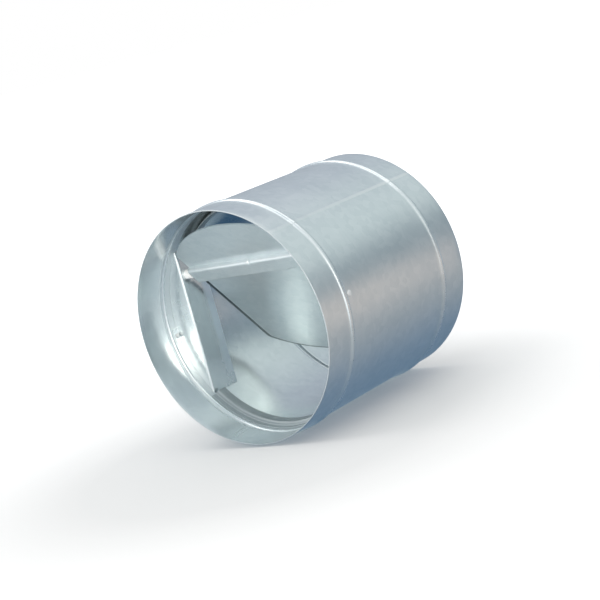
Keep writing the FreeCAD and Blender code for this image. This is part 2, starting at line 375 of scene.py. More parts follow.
def bracket_shape(rivet_angle):
    """The right-hand bracket: the folded section carried up and down between the tube's walls, and its tab.
    The tab is a hair thinner than the plate, so that their faces don't lie in one plane."""
    middle_x, middle_y = flange_x + fitting_sheet / 2, plate_y + fitting_sheet / 2
    corners = [(fitting_radius, middle_y), (middle_x, middle_y), (middle_x, flange_rear_y)]
    line, normals = folded_line(corners, fitting_bend, fitting_sheet, [even(28) ** 2, even(25)])
    loop = sheet_loop(line, normals, fitting_sheet)
    reach = np.sqrt(np.maximum(fitting_radius ** 2 - loop[:, 0] ** 2, 0))
    v = np.linspace(-1, 1, PLATE_ROWS)[:, None]
    plate = np.stack(np.broadcast_arrays(loop[None, :, 0], loop[None, :, 1], v * reach), -1)
    tab_middle = fitting_radius - fitting_sheet / 2
    tab_corners = [(tab_middle, tab_front_y), (tab_middle, middle_y), (fitting_radius - tab_root, middle_y)]
    tab_line, tab_normals = folded_line(tab_corners, fitting_bend, fitting_sheet, [even(4), even(4)])
    half_span = tab_width / 2 / fitting_radius
    tab = around_duct(sheet_loop(tab_line, tab_normals, fitting_sheet - 2 * TAB_THINNER),
                      rivet_angle + np.linspace(-half_span, half_span, TAB_ROWS))
    return joined(sheet_of(plate), sheet_of(tab))


for side, way in (("right", 1), ("left", -1)):
    points, quads = bracket_shape(way * tab_angle)
    add_piece(side + "_bracket_sheet", (points * [way, 1, 1], quads),
              "casing", [side + "_bracket"], SOFT_EDGE)

# %% [markdown]
# The stops. Two strips, rolled to the tube's curve with a Z section: a foot on the wall, a leg
# and a lip that the blade lands on. The section is carried round the duct's axis between the
# two brackets. The bottom one stands in front of the blade and the top one behind it, because
# the two parts of the blade swing opposite ways.

# %% Stops
STOP_STEPS = 121
stop_radius, stop_lip, stop_foot = 74.7, 7.5, 4.0
stop_end_gap, stop_clear = 2.6, 0.3
bracket_corner = np.arccos((flange_x + fitting_sheet) / fitting_radius)
stop_half_span = np.pi / 2 - bracket_corner - stop_end_gap / fitting_radius


def stop_shape(middle_angle, leg_y, way):
    """A Z section of (radius, y) carried along an arc; way says which way along the duct the lip points."""
    foot_radius, lip_radius = fitting_radius - fitting_sheet / 2, stop_radius + fitting_sheet / 2
    middle_y = leg_y + way * fitting_sheet / 2
    corners = [(foot_radius, leg_y - way * stop_foot), (foot_radius, middle_y),
               (lip_radius, middle_y), (lip_radius, leg_y + way * stop_lip)]
    line, normals = folded_line(corners, fitting_bend, fitting_sheet, [even(3), even(2), even(4)])
    arc = middle_angle + np.linspace(-stop_half_span, stop_half_span, STOP_STEPS)
    return sheet_of(around_duct(sheet_loop(line, normals, fitting_sheet), arc))


top_leg_y = blade_front_y + blade_sheet + stop_clear + stop_lip
add_piece("bottom_stop_strip", stop_shape(1.5 * np.pi, plate_y, 1),
          "casing", ["bottom_stop"], SOFT_EDGE)
add_piece("top_stop_strip", stop_shape(0.5 * np.pi, top_leg_y, -1),
          "casing", ["top_stop"], SOFT_EDGE)

# %% [markdown]
# The blade. A disc sheared on two sides so that it clears the brackets, with its four corners
# rounded. Rows of points run across it, and each row is as wide as the outline is at that
# height. A sheared plate is slightly dished, which the slow wave across it stands for: it
# bends what the blade reflects, as in the photograph. It is drawn closed and then swung open,
# because a closed blade is upright and its outline is a plain function of height.

# %% Blade
ARC_STEPS, FILLET_STEPS, SIDE_STEPS, ROW_STEPS = 44, 12, 13, 49
DISH_DEPTH, DISH_SHIFT = 0.22, 0.15
DISH_ACROSS, DISH_DOWN = 130, 150
EDGING_WIDTH, EDGING_GRIP, EDGING_PROUD = 3.2, 0.3, 0.04
EDGING_TOP_Z = 22.0
EDGING_HEIGHTS = [-62.0, -50.0, EDGING_TOP_Z, EDGING_TOP_Z + 8.0]
EDGING_SHARES = [0.45, 1.0, 1.0, 0.0]
blade_radius, blade_corner = 75.6, 6.0
open_angle = np.radians(40.7)


def swung_open(points):
    """Points of the closed blade turned about the hinge line by the angle that the photograph shows."""
    y, z = points[..., 1] - hinge_y, points[..., 2] - hinge_z
    cos, sin = np.cos(open_angle), np.sin(open_angle)
    return np.stack([points[..., 0], hinge_y + y * cos - z * sin, hinge_z + y * sin + z * cos], -1)


def blade_outline(inset):
    """Half widths and heights down one side, a little inside the blade's edge: the disc's arc, a fillet that
    touches it and the straight side from inside, and the straight side. The fillet's centre is R - r from
    the middle."""
    radius, half_width, corner = blade_radius - inset, blade_half_width - inset, blade_corner - inset
    centre_x = half_width - corner
    centre_z = np.sqrt((radius - corner) ** 2 - centre_x ** 2)
    touch = np.arctan2(centre_z, centre_x)
    arc = np.linspace(np.pi / 2, touch, ARC_STEPS)
    fillet = np.linspace(touch, 0, FILLET_STEPS)[1:]
    half = np.concatenate([
        np.stack([radius * np.cos(arc), radius * np.sin(arc)], -1),
        np.stack([centre_x + corner * np.cos(fillet), centre_z + corner * np.sin(fillet)], -1)])
    side_z = np.linspace(centre_z, -centre_z, SIDE_STEPS + 2)[1:-1]
    side = np.stack([np.full(SIDE_STEPS, half_width), side_z], -1)
    return np.concatenate([half, side, half[::-1] * [1, -1]])


def edged_outline(inset):
    """The outline moved in by the whole inset on the straight sides, by about half of it on the lower arc,
    where the edging is narrower, and not at all above the channel."""
    full, cut = blade_outline(0), blade_outline(inset)
    share = np.interp(full[:, 1], EDGING_HEIGHTS, EDGING_SHARES)
    return full + (cut - full) * share[:, None]


def blade_dish(x, z):
    """How far the blade's sheet bows out of flat, in millimetres: one slow wave across and one down."""
    across, down = np.cos(np.pi * x / DISH_ACROSS + 0.5), np.cos(np.pi * z / DISH_DOWN + 0.4)
    return DISH_DEPTH * across * down - DISH_SHIFT


outline = edged_outline(EDGING_WIDTH - EDGING_GRIP)
x_row = outline[:, :1] * np.linspace(-1, 1, ROW_STEPS)[None, :]
z_row = np.broadcast_to(outline[:, 1:], x_row.shape)
front_y = blade_front_y + blade_dish(x_row, z_row)
front = np.stack([x_row, front_y, z_row], -1)
back = np.stack([x_row, front_y + blade_sheet, z_row], -1)[:, ::-1]
blade_grid = swung_open(np.concatenate([front, back], 1))
add_piece("blade_plate", sheet_of(blade_grid), "blade", ["blade"], SOFT_EDGE)

# %% [markdown]
# The edging. A thin dark line of shade runs round the blade's lower edge, so the outermost part of the
# plate there is a soft dark strip pushed over the sheet, from the channel down: a painted shadow. It
# could be painted on, but a strip of its own has a rounded edge that catches light.

# %% Blade edging
EDGING_STEPS, EDGING_SQUARENESS = 16, 0.6


def rounded_square(count, power):
    """Points of a square with round corners: cos and sin of a full turn, each raised to a power below 1."""
    a = np.arange(count) * 2 * np.pi / count
    circle = np.stack([np.cos(a), np.sin(a)])
    return np.sign(circle) * np.abs(circle) ** power


def edging_shape():
    """The outline below the channel, carried round a small rounded section: for each point of the section
    an outline at its own inset, moved off the blade's middle plane by its own distance. Both ends close in
    a point."""
    inwards, off_plane = rounded_square(EDGING_STEPS, EDGING_SQUARENESS)
    insets = EDGING_WIDTH / 2 * (1 - inwards)
    off_plane = (blade_sheet / 2 + EDGING_PROUD) * off_plane
    sides = np.stack([edged_outline(inset) for inset in insets], 1)
    below = sides[sides[:, 0, 1] < EDGING_TOP_Z]
    strip = np.concatenate([below[:-1], below[::-1] * [-1, 1]])
    x, z = strip[..., 0], strip[..., 1]
    y = blade_front_y + blade_sheet / 2 + blade_dish(x, z) + off_plane[None, :]
    grid = np.stack([x, y, z], -1)
    ends = np.repeat(grid[[0, -1]].mean(1, keepdims=True), EDGING_STEPS, 1)
    grid = np.concatenate([ends[:1], grid, ends[1:]])
    return swung_open(grid).reshape(-1, 3), grid_quads(*grid.shape[:2], columns_close=True)


# A dark strip over the blade's edge that stands for a shadow line: painted shadow.
add_piece("blade_edge_shadow_strip", edging_shape(), "blade", [])

# %% [markdown]
# The channel over the axle. A narrow strip folded into a shallow U lies on the blade with the
# axle under it and keeps the two together. A crimp in the middle of its upper fold pins the
# axle, and shows in the photograph as a small dark tick, and a shallow spot weld dents its face
# near each end. Each dent is a smooth hump, exp(-(d/w)^2), added to the points, so it needs
# points close together only where it is.

# %% Axle channel
CHANNEL_SOFT_EDGE = 0.12 * MM
CHANNEL_STEPS, CRIMP_STEPS, WELD_STEPS = 41, 25, 33
channel_sheet, channel_bend, channel_half_length = 0.8, 1.3, blade_half_width
channel_above, channel_below, axle_clear = 5.2, 9.2, 0.1
crimp_depth, crimp_drop, crimp_half_width, crimp_reach, crimp_spread = 0.8, 0.6, 1.0, 2.5, 2.2
weld_x, weld_z, weld_radius, weld_depth, weld_spread = 50.8, 28.5, 1.7, 0.25, 4.0


def channel_shape():
    """The U section of (y, z) carried along the hinge line; near the crimp its upper fold is pressed in."""
    web_y = hinge_y - axle_radius - axle_clear - channel_sheet / 2
    top = hinge_z + channel_above - channel_sheet / 2
    bottom = hinge_z - channel_below + channel_sheet / 2
    corners = [(blade_front_y, top), (web_y, top), (web_y, bottom), (blade_front_y, bottom)]
    line, normals = folded_line(corners, channel_bend, channel_sheet, [even(5), even(25), even(5)])
    loop = sheet_loop(line, normals, channel_sheet)
    near_weld = weld_x + np.linspace(-weld_spread, weld_spread, WELD_STEPS)
    x = np.sort(np.concatenate([np.linspace(-channel_half_length, channel_half_length, CHANNEL_STEPS),
                                np.linspace(-crimp_spread, crimp_spread, CRIMP_STEPS),
                                near_weld, -near_weld]))[:, None]
    y, z = loop[None, :, 0], loop[None, :, 1]
    pressed = crimp_depth * np.exp(-((x / crimp_half_width) ** 2)) * ramp(z, top - crimp_reach, top)
    from_weld = np.hypot(np.abs(x) - weld_x, z - weld_z)
    on_web = np.abs(y - web_y) < channel_sheet
    dent = weld_depth * on_web * np.exp(-((from_weld / weld_radius) ** 2))
    grid = np.stack(np.broadcast_arrays(x, y + pressed + dent, z - crimp_drop * pressed), -1)
    return sheet_of(swung_open(grid))


add_piece("axle_channel_cover", channel_shape(), "blade", ["axle_channel"], CHANNEL_SOFT_EDGE)

# %% [markdown]
# Turned parts: the axle and the two bushes. A lathe or a mould makes them round, so each is a
# section of (radius, distance) carried round its own axis. Blender's cylinders have no
# chamfers or necks, and a section costs only a few points more.

# %% Axle and bushes
TURN_STEPS = 48
axle_overhang, axle_chamfer = 2.5, 0.3
AXLE_SOFT_EDGE, BUSH_SOFT_EDGE = 0.06 * MM, 0.1 * MM
bush_bore, bush_neck, bush_lip, bush_collar = 1.55, 2.5, 2.85, 3.25
bush_end_gap, bush_play, bush_lip_length, bush_chamfer = 0.4, 0.05, 0.9, 0.4


def turned_part(section, close):
    """A section of (radius, distance) carried round the X axis: x = d, y = r cos a, z = r sin a."""
    a = np.arange(TURN_STEPS)[:, None] * 2 * np.pi / TURN_STEPS
    r, d = section[None, :, 0], section[None, :, 1]
    grid = np.stack(np.broadcast_arrays(d, r * np.cos(a), r * np.sin(a)), -1)
    return grid.reshape(-1, 3), grid_quads(TURN_STEPS, len(section), rows_close=True, columns_close=close)


flange_face = flange_x + fitting_sheet
axle_end = flange_face + axle_overhang
half_axle = np.array([(axle_radius, axle_end - axle_chamfer), (axle_radius - axle_chamfer, axle_end),
                      (0, axle_end)])
axle_points, axle_quads = turned_part(np.concatenate([half_axle[::-1] * [1, -1], half_axle]), False)
on_hinge = [0, hinge_y, hinge_z]
add_piece("axle_rod", (axle_points + on_hinge, axle_quads), "blade", ["axle"], AXLE_SOFT_EDGE)

collar_x, neck_end = channel_half_length + bush_end_gap, flange_face + bush_play
lip_end = neck_end + bush_lip_length
bush_section = np.array([
    (bush_bore, collar_x), (bush_collar - bush_chamfer, collar_x), (bush_collar, collar_x + bush_chamfer),
    (bush_collar, flange_x), (bush_neck, flange_x), (bush_neck, neck_end), (bush_lip, neck_end),
    (bush_lip, lip_end - bush_chamfer), (bush_neck, lip_end), (bush_bore, lip_end)])
bush_points, bush_quads = turned_part(bush_section, True)
for side, way in (("right", 1), ("left", -1)):
    add_piece(side + "_bush_ring", (bush_points * [way, 1, 1] + on_hinge, bush_quads),
              "casing", [side + "_bush"], BUSH_SOFT_EDGE)

# %% [markdown]
# The rivets. Each holds a bracket's tab to the casing: a domed head outside, a shank through
# the wall and the tab, and a flat tail inside. The dome is part of a sphere through the head's
# edge and its top. The tail is flat and the tab is curved, so the tail meets the tab at its edge.

# %% Rivets
DOME_STEPS = 9
RIVET_SOFT_EDGE = 0.06 * MM
rivet_from_plate = 2.0
rivet_y = plate_y - rivet_from_plate
head_radius, head_height, shank_radius = 2.1, 0.8, 1.2
tail_radius, tail_height, tail_side, tail_chamfer = 1.6, 0.8, 0.6, 0.3
tail_face = np.sqrt((fitting_radius - fitting_sheet) ** 2 - tail_radius ** 2)
dome_radius = (head_radius ** 2 + head_height ** 2) / (2 * head_height)
dome = np.linspace(0, np.arcsin(head_radius / dome_radius), DOME_STEPS)
dome_line = np.stack([dome_radius * np.sin(dome),
                      outer_radius + head_height - dome_radius * (1 - np.cos(dome))], -1)
rivet_section = np.concatenate([dome_line, [
    (head_radius, outer_radius), (shank_radius, outer_radius), (shank_radius, tail_face),
    (tail_radius, tail_face), (tail_radius, tail_face - tail_side),
    (tail_radius - tail_chamfer, tail_face - tail_height), (0, tail_face - tail_height)]])


def rivet_at(angle):
    """A rivet drawn along the X axis, moved to its tab and turned to its place round the duct."""
    points, quads = turned_part(rivet_section, False)
    x, z = points[:, 0], points[:, 2]
    return np.stack([x * np.cos(angle) - z * np.sin(angle), points[:, 1] + rivet_y,
                     x * np.sin(angle) + z * np.cos(angle)], -1), quads


add_piece("bracket_rivet_pair", joined(rivet_at(tab_angle), rivet_at(tab_angle + np.pi)),
          "casing", ["bracket_rivets"], RIVET_SOFT_EDGE)

# %% [markdown]
# Galvanised sheet. Molten zinc freezes on the steel in crystals, the spangle, and each crystal
# leans its own way, so it is a little lighter or darker and a little glossier or duller than
# the next. Handling leaves smudges and fine scratches. All the sheet pieces share these, so
# they are two node groups, one for the zinc's skin and one for the marks on it, and each
# material sets its own sizes. An image of spangle would stretch round the beads; cells in
# object space don't.

# %% Ways to add nodes


def new_group(name, inputs, outputs):
    """An empty shader node group with float inputs, each (name, default), and float outputs."""
    group = bpy.data.node_groups.new(name, "ShaderNodeTree")
    for title, value in inputs:
        socket = group.interface.new_socket(title, in_out="INPUT", socket_type="NodeSocketFloat")
        socket.default_value = value
    for title in outputs:
        group.interface.new_socket(title, in_out="OUTPUT", socket_type="NodeSocketFloat")
    return group, group.nodes.new("NodeGroupInput"), group.nodes.new("NodeGroupOutput")


class Graph:
    """Short ways to add nodes to a tree and join them. Most give back an output to go on from."""

    def __init__(self, tree):
        self.tree = tree

    def node(self, kind, **settings):
        """A bare node of a kind, with its settings."""
        made = self.tree.nodes.new("ShaderNode" + kind)
        for key, value in settings.items():
            setattr(made, key, value)
        return made

    def put(self, value, socket):
        """A plain value is set on the socket and another node's output is linked to it."""
        if isinstance(value, bpy.types.NodeSocket):
            self.tree.links.new(value, socket)
        else:
            socket.default_value = value

    def math(self, operation, first, second=0.0, clamp=False):
        """One step of arithmetic."""
        made = self.node("Math", operation=operation, use_clamp=clamp)
        self.put(first, made.inputs[0])
        self.put(second, made.inputs[1])
        return made.outputs[0]

    def times(self, first, second):
        """The product of two values, or the overlap of two masks."""
        return self.math("MULTIPLY", first, second)

    def plus(self, value, extra, share=1.0, clamp=False):
        """A value and a share of another."""
        return self.math("ADD", value, self.times(extra, share), clamp)

    def remap(self, value, low, high, to_low=0.0, to_high=1.0):
        """A value's way from low to high, as a way between two other numbers, held at both ends."""
        made = self.node("MapRange")
        for socket, amount in zip(made.inputs, (value, low, high, to_low, to_high)):
            self.put(amount, socket)
        return made.outputs[0]

    def band(self, value, start, full, still_full, end):
        """A mask that is 1 from full to still_full and 0 before start and after end."""
        return self.times(self.remap(value, start, full), self.remap(value, end, still_full))

    def object_space(self, scale=(1, 1, 1)):
        """The place on the piece, in metres, stretched by a scale."""
        made = self.node("Mapping")
        made.inputs["Scale"].default_value = scale
        self.put(self.node("TexCoord").outputs["Object"], made.inputs["Vector"])
        return made.outputs["Vector"]

    def axes(self):
        """The place on the piece as x, y and z, in metres."""
        made = self.node("SeparateXYZ")
        self.put(self.object_space(), made.inputs[0])
        return tuple(made.outputs)

    def distance(self, scale):
        """Distance from the origin, in metres, along the axes whose scale is 1."""
        away = self.node("VectorMath", operation="LENGTH")
        self.put(self.object_space(scale), away.inputs[0])
        return away.outputs["Value"]

    def noise(self, vector, scale, detail=3.0, rough=0.5):
        """Smooth noise from 0 to 1."""
        made = self.node("TexNoise")
        self.put(vector, made.inputs["Vector"])
        for title, value in (("Scale", scale), ("Detail", detail), ("Roughness", rough)):
            self.put(value, made.inputs[title])
        return made.outputs[0]

    def mix(self, share, first, second):
        """Two colours mixed: a share of 0 is the first and 1 the second."""
        made = self.node("Mix", data_type="RGBA")
        for socket, value in zip((made.inputs[0], made.inputs[6], made.inputs[7]), (share, first, second)):
            self.put(value, socket)
        return made.outputs[2]


# %% Shared node groups
GRAIN_SCALE, SMUDGE_SCALE = 1100.0, 24.0
SCRATCH_WAYS = ((1, 0.12, 0.3), (0.2, 1, 0.15), (0.15, 0.25, 1))


def zinc_skin_group():
    """Tone: cell brightness plus slow mottling. Roughness: cells, grain and smudges. Height: grain."""
    inputs = [("Spangle", 260.0), ("Mottle", 26.0), ("Dullness", 0.34), ("Spread", 0.10)]
    group, given, out = new_group("zinc_skin", inputs, ["Tone", "Roughness", "Height"])
    g = Graph(group)
    place = g.object_space()
    cells = g.node("TexVoronoi")
    g.put(place, cells.inputs["Vector"])
    g.put(given.outputs["Spangle"], cells.inputs["Scale"])
    lean = g.node("SeparateColor")
    g.put(cells.outputs["Color"], lean.inputs[0])
    mottle = g.noise(place, given.outputs["Mottle"], 4.0, 0.55)
    grain = g.noise(place, GRAIN_SCALE, 2.0, 0.6)
    smudge = g.remap(g.noise(place, SMUDGE_SCALE, 2.5, 0.5), 0.45, 0.8)
    g.put(g.plus(g.times(lean.outputs[0], 0.34), mottle, 0.66), out.inputs["Tone"])
    dull = g.plus(g.times(lean.outputs[1], 0.5), grain, 0.5)
    dull = g.plus(g.math("SUBTRACT", dull, 0.5), smudge, 0.7)
    g.put(g.plus(given.outputs["Dullness"], dull, given.outputs["Spread"]), out.inputs["Roughness"])
    g.put(grain, out.inputs["Height"])
    return group


def handling_marks_group():
    """Scratch: thin lines where a stretched noise crosses its middle value, kept to patches. Smear: soft
    patches."""
    inputs = [("Lines", 60.0), ("Patches", 16.0)]
    group, given, out = new_group("handling_marks", inputs, ["Scratch", "Smear"])
    g = Graph(group)
    scratch = 0.0
    for stretch in SCRATCH_WAYS:
        wave = g.noise(g.object_space(stretch), given.outputs["Lines"], 2.0, 0.45)
        off = g.math("ABSOLUTE", g.math("SUBTRACT", wave, 0.5))
        scratch = g.math("MAXIMUM", g.remap(off, 0.002, 0.006, 1.0, 0.0), scratch)
    patch = g.noise(g.object_space(), given.outputs["Patches"], 3.0, 0.5)
    g.put(g.times(scratch, g.remap(patch, 0.58, 0.70)), out.inputs["Scratch"])
    g.put(g.remap(patch, 0.52, 0.30), out.inputs["Smear"])
    return group


zinc_skin = zinc_skin_group()
handling_marks = handling_marks_group()
print("groups:", [group.name for group in bpy.data.node_groups])

# %% [markdown]
# Sheet materials. Each adds to the two groups the faint lines that rolling leaves along its
# own sheet. A fresh coat of zinc is nearly all metal, and the rest is its grey oxide, so the
# metal share is a little under one. Where a piece differs from plain sheet, as at a weld or a
# cut edge, a mask in object space lays a tint over it and makes it duller or brighter.

# %% Sheet material
ZINC_METALLIC = 0.88
BUMP_HEIGHT = 0.00003


def new_material(name, metallic=0.0):
    """A material with its node graph and its Principled shader."""
    material = bpy.data.materials.new(name)
    material.use_nodes = True
    shader = material.node_tree.nodes["Principled BSDF"]
    shader.inputs["Metallic"].default_value = metallic
    return material, Graph(material.node_tree), shader


def group_in(g, group, **values):
    """Places a node group in a material with its own values."""
    made = g.node("Group", node_tree=group)
    for title, value in values.items():
        made.inputs[title].default_value = value
    return made.outputs


def bump(g, shader, height, strength, distance):
    """Fine relief on the shader's normal, a distance in metres deep."""
    made = g.node("Bump")
    made.inputs["Strength"].default_value = strength
    made.inputs["Distance"].default_value = distance
    g.put(height, made.inputs["Height"])
    g.put(made.outputs[0], shader.inputs["Normal"])


def no_marks(g):
    """Plain sheet all over."""
    return []


def sheet_material(name, lines, colour, marks=no_marks, **skin):
    """Galvanised sheet: colour from the tone, roughness and bump from the skin, and faint rolling lines.
    colour is a function that turns the tone into the sheet's colour. marks is one that lists where the sheet
    differs: a mask, how far a tint covers it, the tint, and what it adds to the roughness."""
    material, g, shader = new_material(name, ZINC_METALLIC)
    zinc = group_in(g, zinc_skin, **skin)
    wear = group_in(g, handling_marks)
    line = g.noise(g.object_space(lines), 1.0, 3.0, 0.6)
    tone = g.plus(zinc["Tone"], g.math("SUBTRACT", line, 0.5), 0.3, clamp=True)
    tone = g.plus(tone, wear["Scratch"], -0.06)
    surface = colour(g, g.remap(tone, 0.25, 0.75))
    dull = g.plus(zinc["Roughness"], g.plus(g.times(wear["Scratch"], 0.04), wear["Smear"], 0.03))
    for mask, cover, tint, dulls in marks(g):
        surface = g.mix(g.times(mask, cover), surface, tint)
        dull = g.plus(dull, mask, dulls)
    g.put(surface, shader.inputs["Base Color"])
    g.put(dull, shader.inputs["Roughness"])
    bump(g, shader, g.plus(zinc["Height"], line, 0.5), 0.10, BUMP_HEIGHT)
    return material


def plain_zinc(darker, lighter):
    """A colour function: from a darker to a lighter grey as the tone rises."""
    def colour(g, tone):
        return g.mix(tone, darker, lighter)
    return colour


# %% Casing finish
CUT_EDGE_START, CUT_EDGE_FULL = 0.4, 0.1
WELD_FAINT_Y, WELD_CLEAR_Y, WELD_FAINT = 30.0, 120.0, 0.3
NO_TINT = (0, 0, 0, 1)


def metres(*places):
    """Places in millimetres as metres, which is what object coordinates are in."""
    return [place * MM for place in places]


def outside_share(g):
    """0 on the inside of the casing's wall and 1 on its outside, changing within the wall."""
    return g.remap(g.distance((1, 0, 1)), *metres(inner_radius + 0.2, inner_radius + 0.5))


def casing_colour_lit_inside(g, tone):
    """A little darker outside and lighter inside: the lighter inside is painted light."""
    outside = g.mix(tone, (0.71, 0.775, 0.80, 1), (0.80, 0.855, 0.875, 1))
    inside = g.mix(tone, (0.74, 0.805, 0.825, 1), (0.81, 0.87, 0.885, 1))
    return g.mix(outside_share(g), inside, outside)


def casing_marks(g):
    """The whole outside is rougher. Then come the zinc-painted weld, which fades to the front, the rubbed
    crowns of the beads, whose lighter tint is also a painted highlight, the cut edges at both ends, and a
    duller strip inside, between bead and brackets, whose darker tint is painted shade."""
    x, y, z = g.axes()
    outside = outside_share(g)
    off_seam = g.math("ABSOLUTE", g.math("SUBTRACT", g.math("ARCTAN2", z, x), seam_angle))
    weld = g.times(g.remap(off_seam, half_seam, half_seam * 0.6), outside)
    weld = g.times(weld, g.remap(y, *metres(WELD_FAINT_Y, WELD_CLEAR_Y), WELD_FAINT, 1.0))
    bead_top = outer_radius + bead_height
    crown = g.remap(g.distance((1, 0, 1)), *metres(bead_top - bead_height / 2, bead_top))
    from_end = g.math("MINIMUM", y, g.math("SUBTRACT", casing_length * MM, y))
    cut_edge = g.remap(from_end, *metres(CUT_EDGE_START, CUT_EDGE_FULL))
    corner = g.band(y, *metres(bead_foot - 1.0, bead_foot + 0.2, plate_y + 0.4, plate_y + 1.4))
    corner = g.times(corner, g.math("SUBTRACT", 1.0, outside))
    # The crowns' lighter tint is partly a painted highlight; the inside strip's darker tint is painted shade.
    return [(outside, 0.0, NO_TINT, 0.11),
            (weld, 0.6, (0.88, 0.91, 0.91, 1), 0.10),
            (crown, 0.5, (0.82, 0.87, 0.885, 1), -0.05),
            (cut_edge, 0.7, (0.50, 0.54, 0.56, 1), 0.12),
            (corner, 0.3, (0.62, 0.67, 0.69, 1), 0.16)]


# The inside of the casing is painted lighter than the outside: painted light.
casing_finish = sheet_material("galvanised_casing", (18, 900, 18), casing_colour_lit_inside, casing_marks,
                               Spangle=230.0, Mottle=22.0, Dullness=0.20, Spread=0.08)
print("made", casing_finish.name)

# %% Finishes of the fittings and the blade
STRIP_START, STRIP_FULL = 8.9, 5.4
STRIP_LOW_Z, STRIP_FULL_Z = -50.0, -12.0


def stop_painted_shade_colour(g, tone):
    """Zinc painted darker than the other sheet, and darkest on the two lips, where the blade lands: painted
    shade.
    """
    _, y, _ = g.axes()
    lip = g.band(y, *metres(plate_y + 0.1, plate_y + 0.7, top_leg_y - 0.7, top_leg_y - 0.1))
    plain = g.mix(tone, (0.44, 0.495, 0.515, 1), (0.50, 0.555, 0.575, 1))
    return g.mix(lip, plain, g.mix(tone, (0.33, 0.375, 0.39, 1), (0.39, 0.435, 0.45, 1)))


def bracket_painted_sheen(g):
    """A paler, bluish and duller strip along the flange's free edge, fading out lower down: the paler tint is
    a painted reflection.
    """
    _, y, z = g.axes()
    near_edge = g.remap(y, *metres(flange_rear_y - STRIP_START, flange_rear_y - STRIP_FULL))
    strip = g.times(near_edge, g.remap(z, *metres(STRIP_LOW_Z, STRIP_FULL_Z)))
    return [(strip, 1.0, (0.84, 0.93, 1.0, 1), 0.22)]


fitting_colour = plain_zinc((0.71, 0.775, 0.795, 1), (0.79, 0.845, 0.86, 1))
blade_colour = plain_zinc((0.735, 0.80, 0.82, 1), (0.81, 0.865, 0.88, 1))
# The flange's pale strip is a painted reflection.
bracket_finish = sheet_material("galvanised_brackets", (700, 700, 14), fitting_colour, bracket_painted_sheen,
                                Spangle=300.0, Mottle=30.0, Dullness=0.23, Spread=0.08)
# The stops are painted darker than the other sheet, darkest on their lips: painted shade.
stop_finish = sheet_material("zinc_stops_painted_shade", (40, 90, 40), stop_painted_shade_colour,
                             Spangle=90.0, Mottle=30.0, Dullness=0.38, Spread=0.03)
blade_finish = sheet_material("galvanised_blade", (14, 800, 800), blade_colour,
                              Spangle=260.0, Mottle=24.0, Dullness=0.35, Spread=0.07)
channel_finish = sheet_material("galvanised_channel", (14, 800, 800), blade_colour,
                                Spangle=260.0, Mottle=24.0, Dullness=0.46, Spread=0.08)
print("made", [finish.name for finish in (bracket_finish, stop_finish, blade_finish, channel_finish)])

# %% [markdown]
# Rod, rivets, bushes and edging. The rod and rivets are bright metal with fine rings from the
# die or lathe. The bushes are milky nylon with a faint painted glow of their own, which stands
# for light let through, because light scattered inside a part this small would cost more than
# it shows. The edging is a dark matt strip that stands for a shadow line: painted shadow.

# %% Rod, rivet, nylon and edge shadow finishes
PALER_FROM_Z, PALER_FULL_Z = 16.0, -30.0


def plated_material(name, colour, dark, roughness, metallic=ZINC_METALLIC):
    """Bright plated or drawn metal: fine rings from the lathe or die, and a slow stain."""
    material, g, shader = new_material(name, metallic)
    rings = g.noise(g.object_space((3000, 60, 60)), 1.0, 2.0)
    stain = g.noise(g.object_space(), 220.0, 4.0)
    g.put(g.mix(g.remap(stain, 0.35, 0.7), colour, dark), shader.inputs["Base Color"])
    g.put(g.remap(g.math("ADD", rings, stain), 0.6, 1.4, roughness - 0.06, roughness + 0.08),
          shader.inputs["Roughness"])
    bump(g, shader, rings, 0.15, BUMP_HEIGHT)
    return material


def nylon_material():
    """Moulded natural nylon: milky, a little sheen, fine grain, a faint grey rub and a faint painted glow."""
    material, g, shader = new_material("natural_nylon")
    rub = g.remap(g.noise(g.object_space(), 700.0, 4.0), 0.45, 0.75)
    g.put(g.mix(rub, (0.96, 0.97, 0.96, 1), (0.86, 0.88, 0.87, 1)), shader.inputs["Base Color"])
    g.put(g.remap(rub, 0, 1, 0.24, 0.40), shader.inputs["Roughness"])
    shader.inputs["Coat Weight"].default_value = 1.0
    shader.inputs["Coat Roughness"].default_value = 0.15
    # A faint painted glow that brightens the bushes.
    shader.inputs["Emission Color"].default_value = (1, 1, 0.98, 1)
    shader.inputs["Emission Strength"].default_value = 0.22
    bump(g, shader, g.noise(g.object_space(), 4000.0, 2.0), 0.12, 0.00004)
    return material


def edge_shadow_material():
    """Soft dark edging that stands for the shadow line along the blade's edge, a painted shadow: matt,
    lighter where the noise is high, and paler towards its foot."""
    material, g, shader = new_material("painted_edge_shadow")
    _, _, z = g.axes()
    edge_speckle = g.remap(g.noise(g.object_space(), 160.0, 5.0), 0.4, 0.75)
    edge_base_tone = g.mix(edge_speckle, (0.018, 0.032, 0.046, 1), (0.055, 0.080, 0.100, 1))
    paler_lower_down = g.remap(z, *metres(PALER_FROM_Z, PALER_FULL_Z))
    g.put(g.mix(paler_lower_down, edge_base_tone, (0.18, 0.22, 0.235, 1)), shader.inputs["Base Color"])
    g.put(g.remap(edge_speckle, 0, 1, 0.55, 0.8), shader.inputs["Roughness"])
    bump(g, shader, g.noise(g.object_space(), 2200.0, 3.0), 0.2, 0.00005)
    return material


rod_finish = plated_material("zinc_plated_rod", (0.62, 0.63, 0.64, 1), (0.45, 0.46, 0.47, 1), 0.28)
rivet_finish = plated_material("aluminium_rivet", (0.84, 0.86, 0.87, 1), (0.76, 0.78, 0.79, 1), 0.45, 0.5)
nylon_finish = nylon_material()
